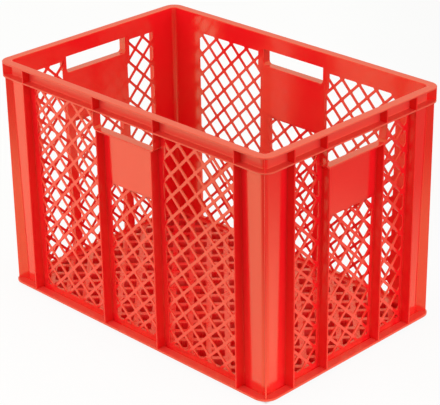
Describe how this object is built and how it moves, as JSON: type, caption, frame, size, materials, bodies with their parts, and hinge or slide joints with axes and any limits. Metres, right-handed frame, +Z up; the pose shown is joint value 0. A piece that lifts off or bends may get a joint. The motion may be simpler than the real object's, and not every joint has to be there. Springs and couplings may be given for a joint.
{
  "type": "perforated stacking crate",
  "caption": "Open-topped plastic stacking crate with lattice walls and floor, a channelled rim, upright fins and a hand hole in every wall.",
  "frame": {"origin": "middle of the footprint, on the underside of the stacking foot", "axes": "+X along the long walls, +Y along the short walls, +Z up; the front wall faces -Y"},
  "size_m": [0.6, 0.4, 0.405],
  "materials": {
    "red_plastic": "smooth moulded red polyethylene, glossy"
  },
  "bodies": {
    "root": {"base_flange_back": "red_plastic", "base_flange_front": "red_plastic", "base_flange_left": "red_plastic", "base_flange_right": "red_plastic", "corner_post_back_left": "red_plastic", "corner_post_back_right": "red_plastic", "corner_post_front_left": "red_plastic", "corner_post_front_right": "red_plastic", "floor_grid": "red_plastic", "hand_hole_collar_back": "red_plastic", "hand_hole_collar_front": "red_plastic", "hand_hole_collar_left": "red_plastic", "hand_hole_collar_right": "red_plastic", "handle_plate_back": "red_plastic", "handle_plate_front": "red_plastic", "handle_plate_left": "red_plastic", "handle_plate_right": "red_plastic", "left_corner_fin_back": "red_plastic", "left_corner_fin_front": "red_plastic", "left_corner_fin_left": "red_plastic", "left_corner_fin_right": "red_plastic", "left_grille_back": "red_plastic", "left_grille_front": "red_plastic", "left_grille_left": "red_plastic", "left_grille_right": "red_plastic", "left_handle_fin_back": "red_plastic", "left_handle_fin_front": "red_plastic", "left_handle_fin_left": "red_plastic", "left_handle_fin_right": "red_plastic", "middle_grille_back": "red_plastic", "middle_grille_front": "red_plastic", "middle_grille_left": "red_plastic", "middle_grille_right": "red_plastic", "right_corner_fin_back": "red_plastic", "right_corner_fin_front": "red_plastic", "right_corner_fin_left": "red_plastic", "right_corner_fin_right": "red_plastic", "right_grille_back": "red_plastic", "right_grille_front": "red_plastic", "right_grille_left": "red_plastic", "right_grille_right": "red_plastic", "right_handle_fin_back": "red_plastic", "right_handle_fin_front": "red_plastic", "right_handle_fin_left": "red_plastic", "right_handle_fin_right": "red_plastic", "rim_back": "red_plastic", "rim_corner_beads": "red_plastic", "rim_front": "red_plastic", "rim_left": "red_plastic", "rim_ribs_back": "red_plastic", "rim_ribs_front": "red_plastic", "rim_ribs_left": "red_plastic", "rim_ribs_right": "red_plastic", "rim_right": "red_plastic", "stacking_foot_back": "red_plastic", "stacking_foot_front": "red_plastic", "stacking_foot_left": "red_plastic", "stacking_foot_right": "red_plastic"}
  },
  "joints": []
}
